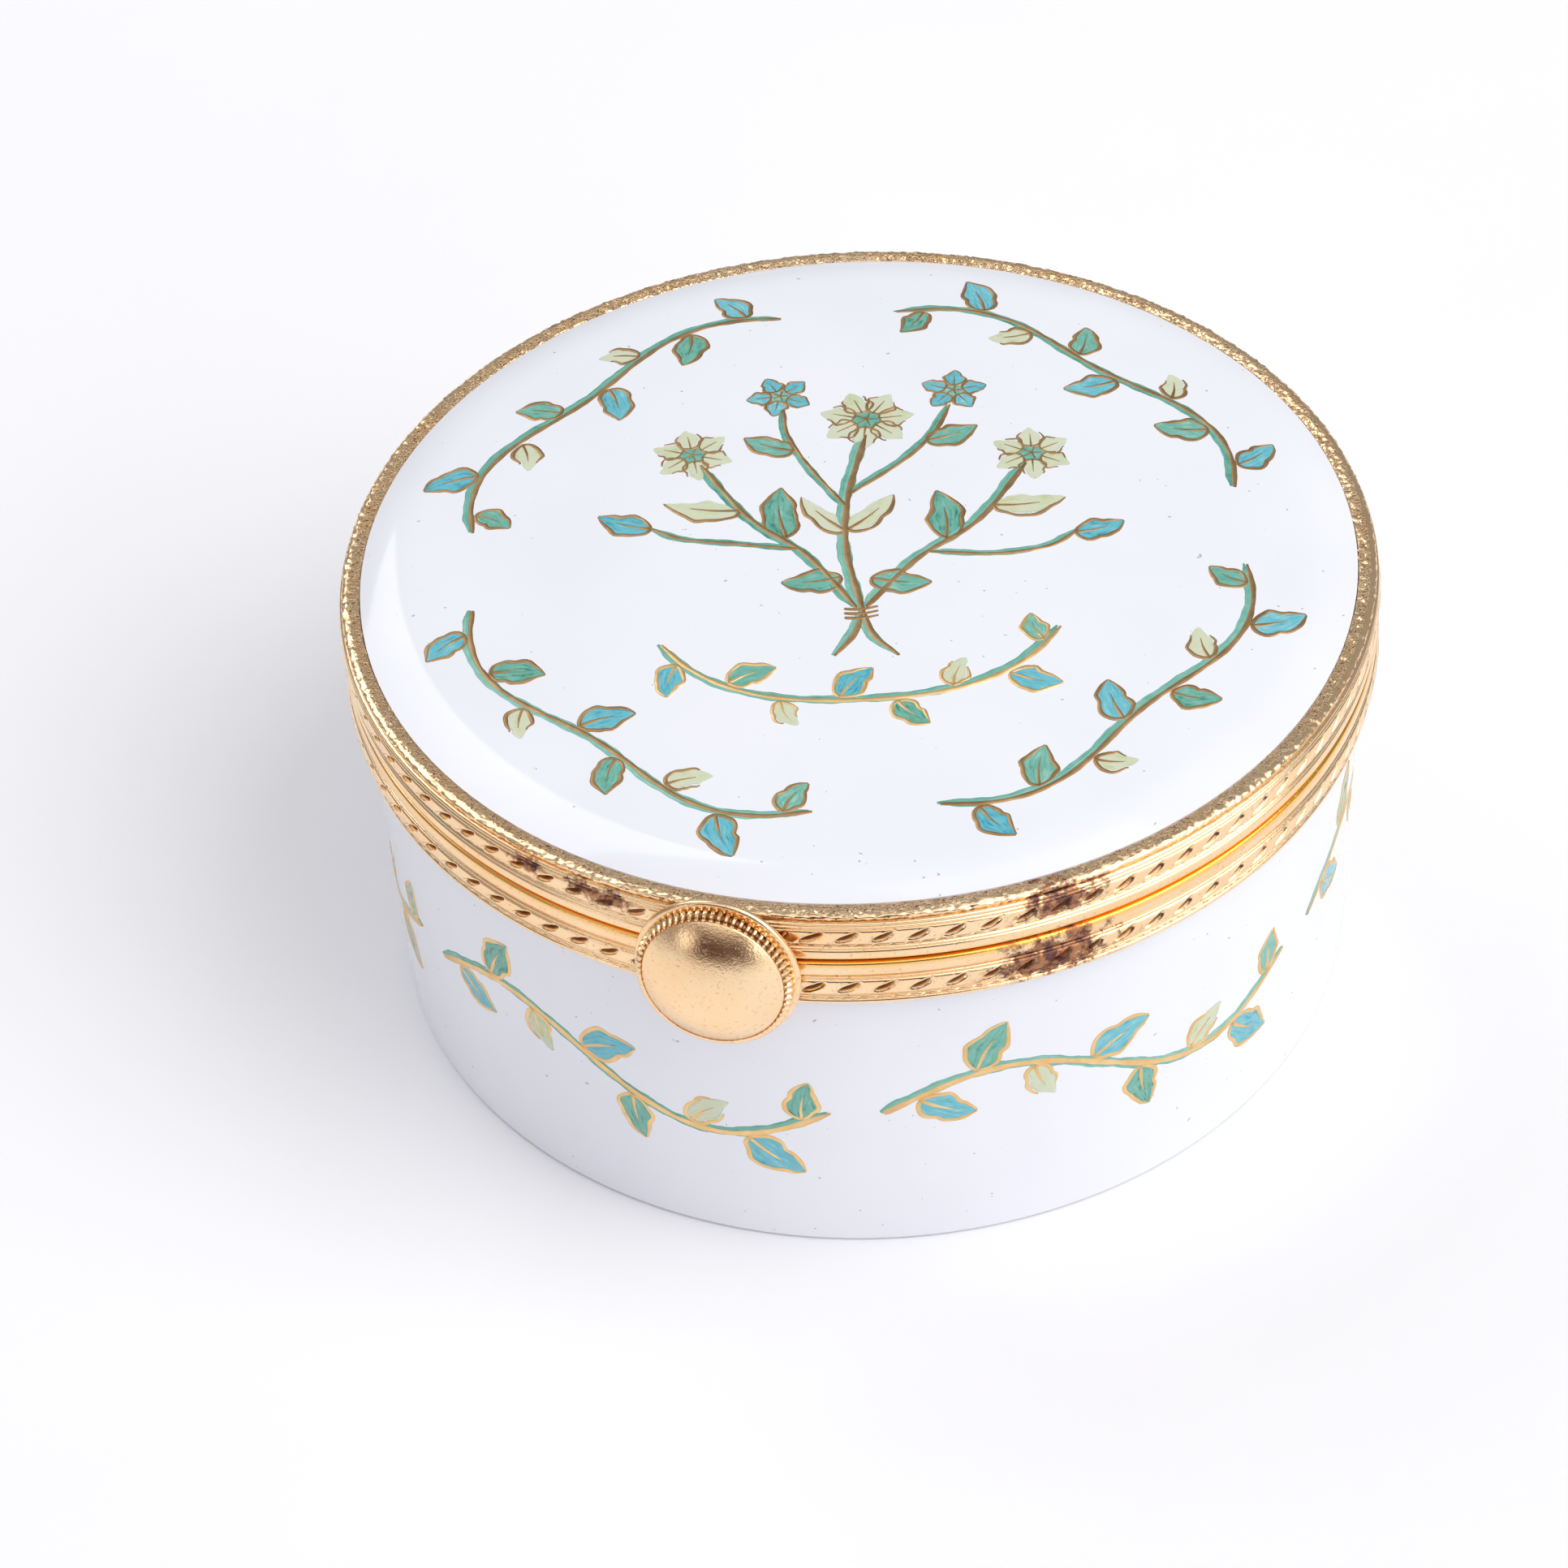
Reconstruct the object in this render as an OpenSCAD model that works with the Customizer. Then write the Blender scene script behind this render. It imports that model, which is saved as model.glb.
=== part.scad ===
// Round hinged trinket box: a porcelain cup and a domed porcelain lid, each set in an engraved
// gilt collar. The collars meet at a seam, turn on a small tube hinge at the back (+Y) and
// snap shut with a round thumb button at the front (-Y). Millimetres, +Z up. The origin is
// the centre of the foot, on the surface that the box stands on.

/* [Body] */
// Outer radius of both gilt collars, at the crest of the rope band
collar_r = 31.5; // [30:0.5:34]
// Height of the seam between the closed lid and the cup
seam_z = 24.7; // [21:0.1:28]
// Height of one gilt collar
collar_h = 3.4; // [3.3:0.05:3.6]
// Gap between the two closed collars
seam_gap = 0.2; // [0.1:0.05:0.3]
// Thickness of the porcelain wall
wall = 2.6; // [2.4:0.1:2.8]
// How much smaller the foot is than the top of the cup, in radius
draft = 0.6; // [0:0.1:1]

/* [Lid] */
// Height of the lid's crown above the top edge of its collar
crown_h = 1.6; // [1.4:0.1:2.4]
// Thickness of the lid at its centre
lid_t = 2.2; // [2:0.1:2.4]

/* [Hinge] */
// Outer radius of the hinge tube
knuckle_r = 1.15; // [1.1:0.05:1.25]
// Length of one hinge knuckle
knuckle_l = 1.9; // [1.7:0.1:2.2]
// Radius of the hinge pin
pin_r = 0.5; // [0.4:0.05:0.55]

/* [Clasp] */
// Radius of the thumb button's milled rim
button_r = 4.65; // [4:0.05:5]
// Height of the button's dome above its rim
dome_h = 1.8; // [1.2:0.1:2.2]
// Lean of the button, top towards the lid, in degrees
clasp_lean = 6; // [4:1:7]

/* [Hidden] */
$fn = 180;
porcelain = [0.96, 0.96, 0.98];
gilt = [0.93, 0.74, 0.42];
plaster = [0.86, 0.83, 0.76];

cement_t = 0.25;                          // bed of cement between porcelain and collar
fit = 0.05;                               // clearance where porcelain and gilt only meet
sheet = 0.5;                              // thickness of the collars' flanges
root_r = collar_r - 0.6;                  // bottom of the engraving on the collars
body_r = collar_r - 1.1;                  // porcelain wall, just under the lower collar
foot_r = body_r - draft;
seat_r = body_r - 0.2;                    // porcelain inside the collars
bed_r = seat_r + cement_t;                // inner face of the collars
mouth_r = body_r - wall;
cup_top = seam_z - seam_gap / 2;          // top face of the lower collar
lid_bottom = seam_z + seam_gap / 2;       // bottom face of the upper collar
collar_low = cup_top - collar_h;
collar_top = lid_bottom + collar_h;
rim_z = cup_top - sheet - fit;            // top of the porcelain cup
lid_rim_z = lid_bottom + sheet + fit;     // bottom of the porcelain lid
lip_out_r = mouth_r - fit;                // closing lip, inside the mouth
lip_in_r = lip_out_r - sheet;
lid_mouth_r = lip_out_r + 0.4;
foot_round = 0.4;                         // rounding of the foot's outer edge
floor_z = 3;
recess_h = 0.8;                           // hollow under the foot
crown_z = collar_top + crown_h;
crown_r = body_r - 3.4;                   // the crown turns down into the shoulder here
crown_drop = 0.9;
lid_edge_r = seat_r - 0.1;
lid_edge_z = collar_top - 0.1;

axis_y = collar_r + knuckle_r + 0.15;
pitch = knuckle_l + 0.1;
bearer_drop = knuckle_r - 0.25;           // from the hinge axis to the face of each bearer
bearer_w = 0.3;                           // how far the bearers reach past the hinge axis
bearer_slope = [1.2, 1.85, 2.4];          // their height above the axis: at the end, the knee, the collar

clasp_y = -collar_r - 0.6;
clasp_z = seam_z - 0.35;
plate_r = button_r + 0.25;
plate_t = 0.5;
rim_t = 0.8;
dome_r = button_r - 0.15;

// Points of an arc about [r, z], from angle a to angle b
function arc(r, z, rad, a, b, n = 8) =
    [for (i = [0:n]) [r + rad * cos(a + (b - a) * i / n), z + rad * sin(a + (b - a) * i / n)]];

// Upper surface of the lid: a shallow crown that turns down into a shoulder
function shoulder_k() =
    (crown_z - crown_drop - lid_edge_z) / pow(lid_edge_r - crown_r, 2)
    - 2 * crown_drop / crown_r / (lid_edge_r - crown_r);
function lid_height(r) =
    r < crown_r
    ? crown_z - crown_drop * pow(r / crown_r, 2)
    : crown_z - crown_drop - 2 * crown_drop / crown_r * (r - crown_r)
      - shoulder_k() * pow(r - crown_r, 2);

// A half-round bead on a collar, from d0 to d1 away from the collar's outer edge
function bead(d0, d1, rise, n = 8) =
    [for (i = [0:n]) [root_r + rise * sin(180 * i / n), d0 + (d1 - d0) * i / n]];

// Outer face of a collar, from its lip to the seam: lip, rope band, fine line, seam band
function collar_face() = concat(
    [[root_r - 0.1, 0]],
    bead(0.1, 0.6, 0.35),
    bead(0.7, 2.05, 0.6, 12),
    bead(2.1, 2.35, 0.22, 6),
    bead(2.4, collar_h - 0.05, 0.45),
    [[root_r - 0.1, collar_h]]
);

// The same face in place on the cup's collar, and turned over on the lid's, both upwards
function lower_face() = [for (p = collar_face()) [p[0], collar_low + p[1]]];
function upper_face() =
    let (face = collar_face(), last = len(face) - 1)
    [for (i = [0:last]) [face[last - i][0], collar_top - face[last - i][1]]];

module lathe(points) {
    rotate_extrude() polygon(points);
}

// Cuts what is soldered to a collar to fit that collar's face.
// side is -1 for the cup's collar and 1 for the lid's.
module on_collar(side) {
    face = side < 0 ? lower_face() : upper_face();
    difference() {
        children();
        lathe(concat([[0, face[0][1]]], face, [[0, face[len(face) - 1][1]]]));
    }
}

module porcelain_base() {
    color(porcelain) lathe(concat(
        [[0, recess_h], [foot_r - 3.6, recess_h], [foot_r - 3.2, 0]],
        arc(foot_r - foot_round, foot_round, foot_round, -90, 0),
        [[body_r, collar_low], [seat_r, collar_low + 0.1]],
        arc(seat_r - 0.5, rim_z - 0.5, 0.5, 0, 90, 4),
        arc(mouth_r + 0.5, rim_z - 0.5, 0.5, 90, 180, 4),
        arc(mouth_r - 4, floor_z + 4, 4, 0, -90),
        [[0, floor_z]]
    ));
}

module porcelain_lid() {
    ceiling_r = lid_mouth_r - 2.4;
    color(porcelain) lathe(concat(
        arc(seat_r - 0.4, lid_rim_z + 0.4, 0.4, -90, 0, 4),
        [[seat_r, collar_top - 0.6], [lid_edge_r, collar_top - 0.45], [lid_edge_r, lid_edge_z]],
        [for (i = [1:8]) let (r = lid_edge_r + (crown_r - lid_edge_r) * i / 8) [r, lid_height(r)]],
        [for (i = [1:10]) let (r = crown_r * (1 - i / 10)) [r, lid_height(r)]],
        [for (i = [0:6]) let (r = ceiling_r * i / 6) [r, lid_height(r) - lid_t]],
        [[lid_mouth_r - 0.3, lid_rim_z + 0.9], [lid_mouth_r + 0.1, lid_rim_z + 0.3],
         [lid_mouth_r + 0.5, lid_rim_z]]
    ));
}

module base_collar() {
    color(gilt) lathe(concat(
        [[body_r + fit, collar_low]],
        lower_face(),
        [[lip_out_r, cup_top], [lip_out_r, cup_top - sheet], [bed_r, cup_top - sheet],
         [bed_r, collar_low + 0.3], [body_r + fit, collar_low + 0.2]]
    ));
}

module lid_collar() {
    color(gilt) lathe(concat(
        [[lid_mouth_r, lid_bottom]],
        upper_face(),
        [[lid_edge_r + 0.3, collar_top], [lid_edge_r + fit, collar_top - 0.15],
         [lid_edge_r + fit, collar_top - 0.4], [bed_r, collar_top - sheet],
         [bed_r, lid_bottom + sheet], [lid_mouth_r, lid_bottom + sheet]]
    ));
}

module closing_lip() {
    color(gilt) lathe([
        [lip_in_r, rim_z - 0.8], [lip_out_r, rim_z - 0.8], [lip_out_r, lid_rim_z + 0.1],
        [lip_out_r - 0.15, lid_rim_z + 0.3], [lip_in_r + 0.15, lid_rim_z + 0.3],
        [lip_in_r, lid_rim_z + 0.1]
    ]);
}

// A bed of cement that fills the gap between the porcelain and its collar
module cement(low, high) {
    color(plaster) lathe([[seat_r, low], [bed_r, low], [bed_r, high], [seat_r, high]]);
}

// Tube along the hinge axis, centred on x
module along_hinge(x, length, r) {
    translate([x - length / 2, axis_y, seam_z]) rotate([0, 90, 0]) cylinder(r = r, h = length);
}

module knuckle(place) {
    color(gilt) difference() {
        along_hinge(place * pitch, knuckle_l, knuckle_r);
        along_hinge(place * pitch, knuckle_l + 1, pin_r + 0.03);
    }
}

// Solder bearer that joins one collar to its own knuckles and clears the other collar's.
// side is -1 below the hinge axis and 1 above it, and own lists its knuckles' places.
module bearer(side, own) {
    half = 2.5 * pitch - 0.05;
    near = root_r - 0.4;
    far = axis_y + bearer_w;
    color(gilt) difference() {
        on_collar(side) translate([-half, 0, 0]) rotate([90, 0, 90]) linear_extrude(2 * half) polygon([
            [near, seam_z + side * bearer_drop], [far, seam_z + side * bearer_drop],
            [far, seam_z + side * bearer_slope[0]], [far - 0.9, seam_z + side * bearer_slope[1]],
            [near, seam_z + side * bearer_slope[2]]
        ]);
        for (place = [-2:2])
            along_hinge(place * pitch, pitch + 0.02, knuckle_r + (len(search(place, own)) > 0 ? 0 : 0.12));
    }
}

module hinge_pin() {
    half = 2.5 * pitch;
    color(gilt) union() {
        along_hinge(0, 2 * half, pin_r);
        for (side = [-1, 1])
            intersection() {
                translate([side * (half - 0.35), axis_y, seam_z]) sphere(r = 0.85);
                along_hinge(side * (half + 0.5), 1, 0.9);
            }
    }
}

// Frame of the clasp: x across, y towards the box, z up the leaning button
module on_clasp() {
    translate([0, clasp_y, clasp_z]) rotate([-clasp_lean, 0, 0]) children();
}

// Disc on the clasp, from y to y - t towards the viewer
module clasp_disc(r, y, t) {
    translate([0, y, 0]) rotate([90, 0, 0]) cylinder(r = r, h = t);
}

module clasp_bracket() {
    color(gilt) on_collar(1) on_clasp() translate([-2.2, 0, 1]) cube([4.4, 1.6, 2.4]);
}

module clasp_backplate() {
    color(gilt) on_clasp() clasp_disc(plate_r, 0, plate_t);
}

module clasp_button() {
    ball_r = (pow(dome_r, 2) + pow(dome_h, 2)) / (2 * dome_h);
    color(gilt) on_clasp() union() {
        clasp_disc(button_r, -plate_t, rim_t);
        intersection() {
            translate([0, ball_r - dome_h - plate_t - rim_t, 0]) sphere(r = ball_r);
            clasp_disc(dome_r, -plate_t - rim_t + 0.05, dome_h + 0.1);
        }
    }
}

// Spring tongue behind the button, with a small bead that snaps under the catch pip
module clasp_tongue() {
    color(gilt) on_clasp() union() {
        translate([-1.8, 0, -2.9]) cube([3.6, 0.35, 3.7]);
        translate([-1, 0.3, -2.6]) rotate([0, 90, 0]) cylinder(r = 0.25, h = 2);
    }
}

module catch_pip() {
    color(gilt) on_collar(-1) translate([0, -collar_r + 0.1, seam_z - 1.9]) sphere(r = 0.45);
}

porcelain_base();
porcelain_lid();
base_collar();
lid_collar();
closing_lip();
cement(collar_low + 0.4, rim_z - 0.6);  // base_cement
cement(lid_rim_z + 0.5, collar_top - 0.7);  // lid_cement
bearer(-1, [-2, 0, 2]);  // base_hinge_bearer
bearer(1, [-1, 1]);  // lid_hinge_bearer
knuckle(-2);  // base_knuckle_left
knuckle(-1);  // lid_knuckle_left
knuckle(0);  // base_knuckle_centre
knuckle(1);  // lid_knuckle_right
knuckle(2);  // base_knuckle_right
hinge_pin();
clasp_bracket();
clasp_backplate();
clasp_button();
clasp_tongue();
catch_pip();
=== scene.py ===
import math
import bpy
import numpy as np
from mathutils import Matrix, Vector


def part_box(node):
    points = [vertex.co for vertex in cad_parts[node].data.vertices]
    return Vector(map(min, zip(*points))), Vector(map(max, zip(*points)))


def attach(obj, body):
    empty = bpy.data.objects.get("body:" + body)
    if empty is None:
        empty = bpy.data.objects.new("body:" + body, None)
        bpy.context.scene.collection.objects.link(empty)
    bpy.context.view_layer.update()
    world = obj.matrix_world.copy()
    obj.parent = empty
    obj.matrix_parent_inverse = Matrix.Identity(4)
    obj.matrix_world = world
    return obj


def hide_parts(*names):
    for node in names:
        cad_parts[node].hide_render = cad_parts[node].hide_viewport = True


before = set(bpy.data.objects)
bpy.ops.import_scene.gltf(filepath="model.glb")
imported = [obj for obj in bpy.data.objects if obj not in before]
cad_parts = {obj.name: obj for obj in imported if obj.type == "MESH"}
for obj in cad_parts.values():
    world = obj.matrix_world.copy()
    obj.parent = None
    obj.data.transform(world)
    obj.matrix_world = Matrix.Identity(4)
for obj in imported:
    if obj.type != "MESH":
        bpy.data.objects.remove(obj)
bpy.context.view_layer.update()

mm = 0.001
scene = bpy.context.scene


# where things are, in millimetres, from the frame

def nodeBox(node):
    low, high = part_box(node)
    return Vector(low) / mm, Vector(high) / mm


baseLow, baseHigh = nodeBox("base_collar")
lidLow, lidHigh = nodeBox("lid_collar")
cupHigh = nodeBox("porcelain_base")[1]
lipLow, lipHigh = nodeBox("closing_lip")
plateLow, plateHigh = nodeBox("clasp_backplate")
tubeLow, tubeHigh = nodeBox("base_knuckle_centre")
paintProud = 0.07  # how far the paint stands proud of the glaze
crownZ = nodeBox("porcelain_lid")[1].z - paintProud
lidRimZ = nodeBox("porcelain_lid")[0].z
collarR = lidHigh.x
seamLow = baseHigh.z
seamHigh = lidLow.z
cupR = cupHigh.x
print("frame read, collar radius %.2f mm, crown %.2f mm" % (collarR, crownZ))


# shader maths

def maths(operation, *values):
    tree = next(v for v in values if isinstance(v, Wire)).socket.node.id_data
    node = tree.nodes.new("ShaderNodeMath")
    node.operation = operation
    for socket, value in zip(node.inputs, values):
        if isinstance(value, Wire):
            tree.links.new(value.socket, socket)
        else:
            socket.default_value = value
    return Wire(node.outputs[0])


class Wire:  # one output socket, so that maths on it reads as an expression
    def __init__(self, socket):
        self.socket = socket

    def __add__(self, other): return maths("ADD", self, other)
    def __radd__(self, other): return maths("ADD", other, self)
    def __sub__(self, other): return maths("SUBTRACT", self, other)
    def __rsub__(self, other): return maths("SUBTRACT", other, self)
    def __mul__(self, other): return maths("MULTIPLY", self, other)
    def __rmul__(self, other): return maths("MULTIPLY", other, self)
    def __truediv__(self, other): return maths("DIVIDE", self, other)


class Shading:  # the nodes of one material, or of the studio's light
    def __init__(self, owner, shaderName, place):
        owner.use_nodes = True
        self.tree = owner.node_tree
        self.shader = self.tree.nodes[shaderName]
        self.place = self.node("ShaderNodeTexCoord", out=place)

    def node(self, kind, settings=None, sockets=None, out=0):
        made = self.tree.nodes.new(kind)
        for name, value in (settings or {}).items():
            setattr(made, name, value)
        for name, value in (sockets or {}).items():
            if isinstance(value, Wire):
                self.tree.links.new(value.socket, made.inputs[name])
            else:
                made.inputs[name].default_value = value
        return Wire(made.outputs[out])

    def feed(self, **inputs):
        for name, wire in inputs.items():
            self.tree.links.new(wire.socket, self.shader.inputs[name.replace("_", " ")])

    def axes(self):
        return [self.node("ShaderNodeSeparateXYZ", None, {"Vector": self.place}, axis) for axis in "XYZ"]

    # the textures that most finishes share; size is the feature size in mm
    def noise(self, size, detail=3, rough=0.55, where=None, out="Fac"):
        return self.node("ShaderNodeTexNoise", None, {
            "Vector": where or self.place, "Scale": 1 / (size * mm), "Detail": detail, "Roughness": rough,
        }, out)

    def ramp(self, value, low, high):
        return self.node("ShaderNodeMapRange", {"interpolation_type": "SMOOTHSTEP"}, {
            "Value": value, "From Min": low, "From Max": high})

    def blend(self, amount, first, second):
        def four(colour):
            return colour if isinstance(colour, Wire) else (*colour, 1)
        return self.node("ShaderNodeMix", {"data_type": "RGBA"}, {
            0: amount, 6: four(first), 7: four(second)}, out=2)

    def mark(self, name):  # a value that the mesh carries at its points
        return self.node("ShaderNodeAttribute", {"attribute_name": name}, out="Fac")

    def bump(self, height, depth, strength=1.0):
        return self.node("ShaderNodeBump", None, {
            "Height": height, "Distance": depth * mm, "Strength": strength}, "Normal")


class Finish(Shading):
    def __init__(self, name, **fixed):
        self.material = bpy.data.materials.new(name)
        super().__init__(self.material, "Principled BSDF", "Object")
        for socket, value in fixed.items():
            self.shader.inputs[socket.replace("_", " ")].default_value = value

    def feed(self, **inputs):
        super().feed(**inputs)
        return self.material


def tint(red, green, blue):  # a paint chip's 0 to 255 values as a shader colour
    return tuple(
        c / 255 / 12.92 if c <= 10 else ((c / 255 + 0.055) / 1.055) ** 2.4 for c in (red, green, blue))


# finishes

def glaze():
    f = Finish("porcelainGlaze", IOR=1.52, Coat_Weight=0.0, Specular_IOR_Level=0.45)
    cloud = f.noise(14, 2)
    body = f.blend(f.ramp(cloud, 0.3, 0.75), tint(238, 240, 248), tint(242, 244, 250))
    speckle = f.ramp(f.noise(0.42, 1, 0.4), 0.79, 0.81)
    body = f.blend(speckle * 0.6, body, tint(150, 138, 132))
    rough = f.noise(4, 3) * 0.05 + 0.055
    ripple = f.noise(7, 2, 0.4)
    peel = f.noise(0.9, 2, 0.5)
    normal = f.bump(ripple + peel * 0.06, 0.05, 0.2)
    return f.feed(Base_Color=body, Roughness=rough, Normal=normal)


def bisque():
    f = Finish("bisqueFoot", IOR=1.5)
    grain = f.noise(0.25, 4, 0.7)
    grime = f.ramp(f.noise(3, 4, 0.6), 0.45, 0.8)
    body = f.blend(grime * 0.5, tint(226, 222, 214), tint(178, 168, 152))
    return f.feed(Base_Color=body, Roughness=grain * 0.2 + 0.65, Normal=f.bump(grain, 0.03, 0.5))


stains = [  # angle round the collars from the button, mid height, half width and half height, mm
    dict(angle=35.5, height=22.9, wide=4.0, tall=1.7),
    dict(angle=36, height=27.1, wide=2.7, tall=1.15),
    dict(angle=-14, height=27.0, wide=2.4, tall=0.7),
    dict(angle=-23, height=27.2, wide=1.2, tall=0.5),
]


def gilt(name="giltCollar", stained=True, rough=0.16, sandy=0.25):
    f = Finish(name, Metallic=1.0)
    recess = f.mark("recess")
    cloud = f.noise(5, 3)
    fine = f.noise(0.35, 4, 0.65)
    sand = f.noise(0.14, 3, 0.6)
    body = f.blend(f.ramp(cloud, 0.3, 0.75), tint(255, 224, 182), tint(255, 214, 164))
    body = f.blend(f.ramp(fine, 0.5, 0.8) * 0.2, body, tint(232, 180, 122))
    # hollowing: the cuts and grooves are painted darker brown and rougher, partly tarnish in them and partly
    # painted shade
    hollowing = f.ramp(recess, 0.3, 1.0)
    body = f.blend(hollowing * 0.9, body, tint(118, 70, 38))
    grit = f.ramp(f.noise(0.15, 3, 0.6), 0.5, 0.62) * f.mark("grit")
    body = f.blend(grit * 0.75, body, tint(132, 84, 46))
    pits = f.ramp(f.noise(0.22, 3, 0.6), 0.6, 0.7)
    body = f.blend(pits * 0.4, body, tint(172, 118, 84))
    # painted amber reflection along the seam band between the two collars
    body = f.blend(f.mark("glow"), body, tint(250, 186, 58))
    roughness = f.noise(1.6, 4, 0.6) * 0.2 + (rough - 0.06) + hollowing * 0.15
    if stained:
        mask = None
        x, y, z = f.axes()
        for stain in stains:
            turn = math.radians(stain["angle"])
            across = (x * math.cos(turn) + y * math.sin(turn)) / (stain["wide"] * mm)
            up = (z - stain["height"] * mm) / (stain["tall"] * mm)
            front = maths("GREATER_THAN", x * math.sin(turn) - y * math.cos(turn), 0.0)
            spot = maths("EXPONENT", (across * across + up * up) * -1.1) * front
            mask = spot if mask is None else maths("MAXIMUM", mask, spot)
        ragged = f.noise(1.1, 6, 0.75) * 3.2 - 1.6
        mask = f.ramp(mask + ragged, 0.26, 0.7) * f.ramp(mask, 0.06, 0.3)
        spots = f.ramp(f.noise(0.45, 4, 0.6), 0.42, 0.6)
        hue = f.blend(spots, tint(172, 116, 78), tint(84, 38, 44))
        body = f.blend(mask * 0.95, body, hue)
        roughness = roughness + mask * 0.2
        f.feed(Metallic=1 - mask * 0.3)
    normal = f.bump(fine * 0.5 - pits * 0.6 - grit * 4 + sand * sandy, 0.012, 0.6)
    return f.feed(Base_Color=body, Roughness=roughness, Normal=normal)


def pinBrass():
    f = Finish("pinBrass", Metallic=1.0)
    fine = f.noise(0.3, 4, 0.7)
    body = f.blend(f.ramp(f.noise(1.2, 3), 0.3, 0.7), tint(196, 158, 98), tint(150, 108, 60))
    return f.feed(Base_Color=body, Roughness=fine * 0.25 + 0.25, Normal=f.bump(fine, 0.01, 0.5))


def cementBed():
    f = Finish("cementBed")
    grain = f.noise(0.3, 5, 0.7)
    body = f.blend(grain, tint(212, 204, 188), tint(190, 178, 158))
    return f.feed(Base_Color=body, Roughness=grain * 0.2 + 0.7, Normal=f.bump(grain, 0.05, 0.6))


def burnishedPaint(name, bright, dull, rough):
    f = Finish(name, Metallic=0.9)
    brush = f.noise(0.28, 4, 0.65)
    body = f.blend(f.ramp(f.noise(1.5, 3), 0.3, 0.7), bright, dull)
    edge = f.ramp(f.mark("edge"), 0.0, 0.5)
    body = f.blend((1 - edge) * 0.25, body, tint(128, 86, 42))
    return f.feed(Base_Color=body, Roughness=brush * 0.2 + rough, Normal=f.bump(brush, 0.02, 0.5))


def enamel(name, body, deep, pale, fade=0.0):
    f = Finish(name, IOR=1.5)
    along, across, tone, edge = (f.mark(m) for m in ("along", "across", "tone", "edge"))
    streakAt = f.node("ShaderNodeCombineXYZ", None, {"X": tone * 40, "Y": along * 1.6, "Z": across * 2.6})
    streak = f.node("ShaderNodeTexNoise", None, {
        "Vector": streakAt, "Scale": 2.2, "Detail": 4.0, "Roughness": 0.6})
    mottle = f.noise(0.8, 4, 0.6)
    mix = streak * 0.65 + mottle * 0.35 + (tone - 0.5) * 0.12
    colour = f.blend(f.ramp(mix, 0.5, 0.72), body, deep)
    colour = f.blend(f.ramp(mix, 0.5, 0.3), colour, pale)
    colour = f.blend((1 - f.ramp(edge, 0.0, 0.3)) * 0.35, colour, deep)
    f.feed(Base_Color=colour, Roughness=mottle * 0.1 + 0.1, Normal=f.bump(streak, 0.02, 0.3))
    if fade:
        soft = f.ramp(edge + (mottle - 0.5) * 0.5, 0.0, fade) * (0.72 + streak * 0.35)
        f.feed(Alpha=maths("MINIMUM", soft, 1.0))
    return f.material


finishes = {
    "glaze": glaze(),
    "bisque": bisque(),
    "collar": gilt(),
    "fittings": gilt("giltFittings", False, 0.2),
    "button": gilt("giltButton", False, 0.18, 2.0),
    "pin": pinBrass(),
    "cement": cementBed(),
    "wallGold": burnishedPaint("goldOnWall", tint(246, 212, 154), tint(234, 192, 128), 0.34),
    # the lid's gold is the same paint as the wall's, darkened: painted shade
    "shadedLidGold": burnishedPaint("goldOnLidShaded", tint(198, 162, 116), tint(166, 132, 90), 0.36),
    "turquoise": enamel("turquoiseEnamel", tint(108, 189, 203), tint(38, 142, 164), tint(156, 210, 220)),
    "green": enamel("greenEnamel", tint(114, 180, 164), tint(38, 124, 100), tint(156, 204, 190)),
    "olive": enamel("oliveEnamel", tint(220, 226, 196), tint(190, 204, 146), tint(226, 231, 210), 0.35),
}
print("finishes made:", len(finishes))


# meshes

def piece(name, points, faces, body, materials, marks=None, shades=None, replaced=(), sharp=40):
    mesh = bpy.data.meshes.new(name)
    mesh.from_pydata((np.asarray(points) * mm).tolist(), [], faces)
    for key, values in (marks or {}).items():
        carried = mesh.attributes.new(key, "FLOAT", "POINT")
        carried.data.foreach_set("value", np.asarray(values, dtype=np.float32))
    for key in materials:
        mesh.materials.append(finishes[key])
    if shades is not None:
        mesh.polygons.foreach_set("material_index", np.asarray(shades, dtype=np.int32))
    mesh.shade_smooth()
    mesh.set_sharp_from_angle(angle=math.radians(sharp))
    mesh.update()
    made = bpy.data.objects.new(name, mesh)
    scene.collection.objects.link(made)
    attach(made, body)
    if replaced:
        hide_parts(*replaced)
    return made


def arc(r, z, radius, start, end, count):
    angles = np.radians(np.linspace(start, end, count + 1))
    return [(r + radius * math.cos(a), z + radius * math.sin(a)) for a in angles]


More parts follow.
